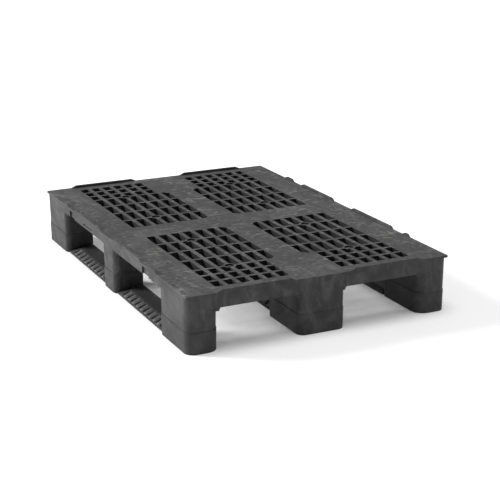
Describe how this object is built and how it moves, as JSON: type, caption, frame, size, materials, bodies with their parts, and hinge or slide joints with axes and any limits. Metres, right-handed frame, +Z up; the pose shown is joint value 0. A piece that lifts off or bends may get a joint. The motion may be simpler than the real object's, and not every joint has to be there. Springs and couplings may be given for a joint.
{
  "type": "plastic pallet",
  "caption": "Three-runner plastic pallet with an open grid deck, raised edge rims, fork entry from all sides and boards with ramped edges between its feet.",
  "frame": {"origin": "on the ground, at the middle of the pallet's footprint", "axes": "+X along the runners, towards one short side; +Y across the runners; +Z up"},
  "size_m": [1.2, 0.8, 0.17],
  "materials": {
    "deck_plastic": "satin recycled polyolefin with flow marks, dark grey",
    "runner_plastic": "satin recycled polyolefin, dark grey",
    "screw_steel": "zinc plated"
  },
  "bodies": {
    "root": {"deck": "deck_plastic", "runner_left": "runner_plastic", "runner_middle": "runner_plastic", "runner_right": "runner_plastic", "screws_left_front": "screw_steel", "screws_left_centre": "screw_steel", "screws_left_rear": "screw_steel", "screws_middle_front": "screw_steel", "screws_middle_centre": "screw_steel", "screws_middle_rear": "screw_steel", "screws_right_front": "screw_steel", "screws_right_centre": "screw_steel", "screws_right_rear": "screw_steel"}
  },
  "joints": []
}
